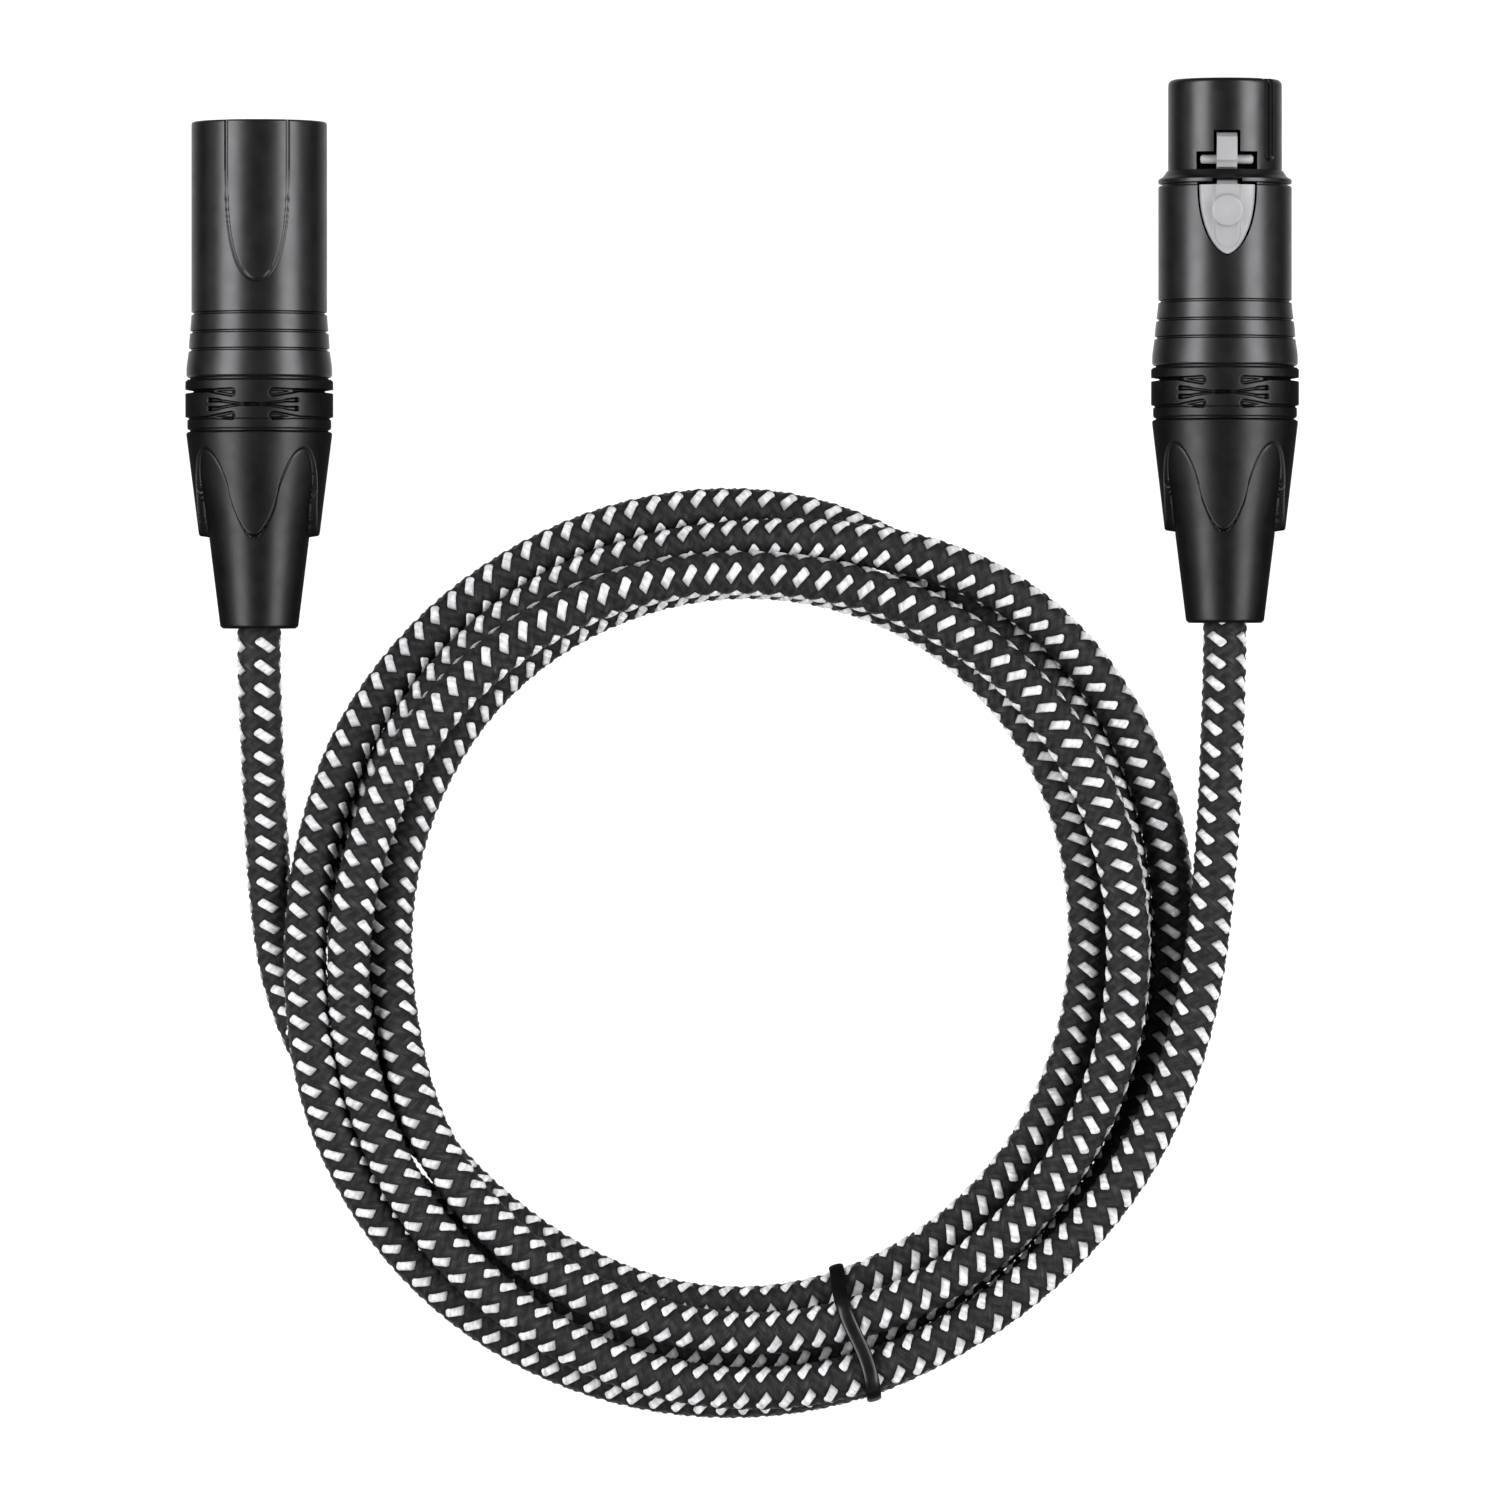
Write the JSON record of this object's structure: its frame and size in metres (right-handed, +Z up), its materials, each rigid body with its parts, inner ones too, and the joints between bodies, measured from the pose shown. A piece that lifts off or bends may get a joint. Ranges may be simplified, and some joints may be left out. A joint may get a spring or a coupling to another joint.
{
  "type": "xlr cable coil",
  "caption": "Coiled braided microphone cable with a male and a female XLR connector, tapered boots, a push latch and a rubber tie.",
  "frame": {"origin": "on the surface it lies on, at the middle of the rectangle round the two connectors", "axes": "+X from the male connector to the female one, +Y the way both connectors point, +Z up"},
  "size_m": [0.156, 0.1876, 0.0207],
  "materials": {
    "black_shell": "satin black powder coat",
    "black_plastic": "matte",
    "grip_ring": "satin",
    "contact_plating": "bright plated",
    "latch_nickel": "satin nickel",
    "spring_steel": "plain",
    "boot_rubber": "matte",
    "tie_rubber": "soft sheen",
    "core_red": "plain",
    "core_white": "plain",
    "copper": "bare",
    "cable_braid": "woven nylon yarn with white tracer"
  },
  "bodies": {
    "root": {"male_shell": "black_shell", "male_insert": "black_plastic", "male_pin_1": "contact_plating", "male_pin_2": "contact_plating", "male_pin_3": "contact_plating", "male_chuck": "black_plastic", "male_gland_nut": "black_plastic", "male_grip_ring": "grip_ring", "male_boot": "boot_rubber", "male_cable_end": "cable_braid", "male_core_hot": "core_red", "male_core_cold": "core_white", "male_shield_drain": "copper", "female_nose": "black_shell", "female_shell": "black_shell", "female_insert": "black_plastic", "female_socket_1": "contact_plating", "female_socket_2": "contact_plating", "female_socket_3": "contact_plating", "female_latch_pin": "spring_steel", "female_latch_spring": "spring_steel", "female_chuck": "black_plastic", "female_gland_nut": "black_plastic", "female_grip_ring": "grip_ring", "female_boot": "boot_rubber", "female_cable_end": "cable_braid", "female_core_hot": "core_red", "female_core_cold": "core_white", "female_shield_drain": "copper", "cable_coil": "cable_braid", "cable_tail_female": "cable_braid", "cable_tail_male": "cable_braid", "coil_tie": "tie_rubber"},
    "latch": {"female_latch": "latch_nickel"}
  },
  "joints": [
    {"name": "latch_press", "type": "hinge", "parent": "root", "child": "latch", "pos_m": [0.0676, 0.0119, 0.01625], "axis": [-1, 0, 0], "range_deg": [0, 5], "stiffness_Nm_per_rad": 0.1, "deforming": ["female_latch_spring"]}
  ]
}
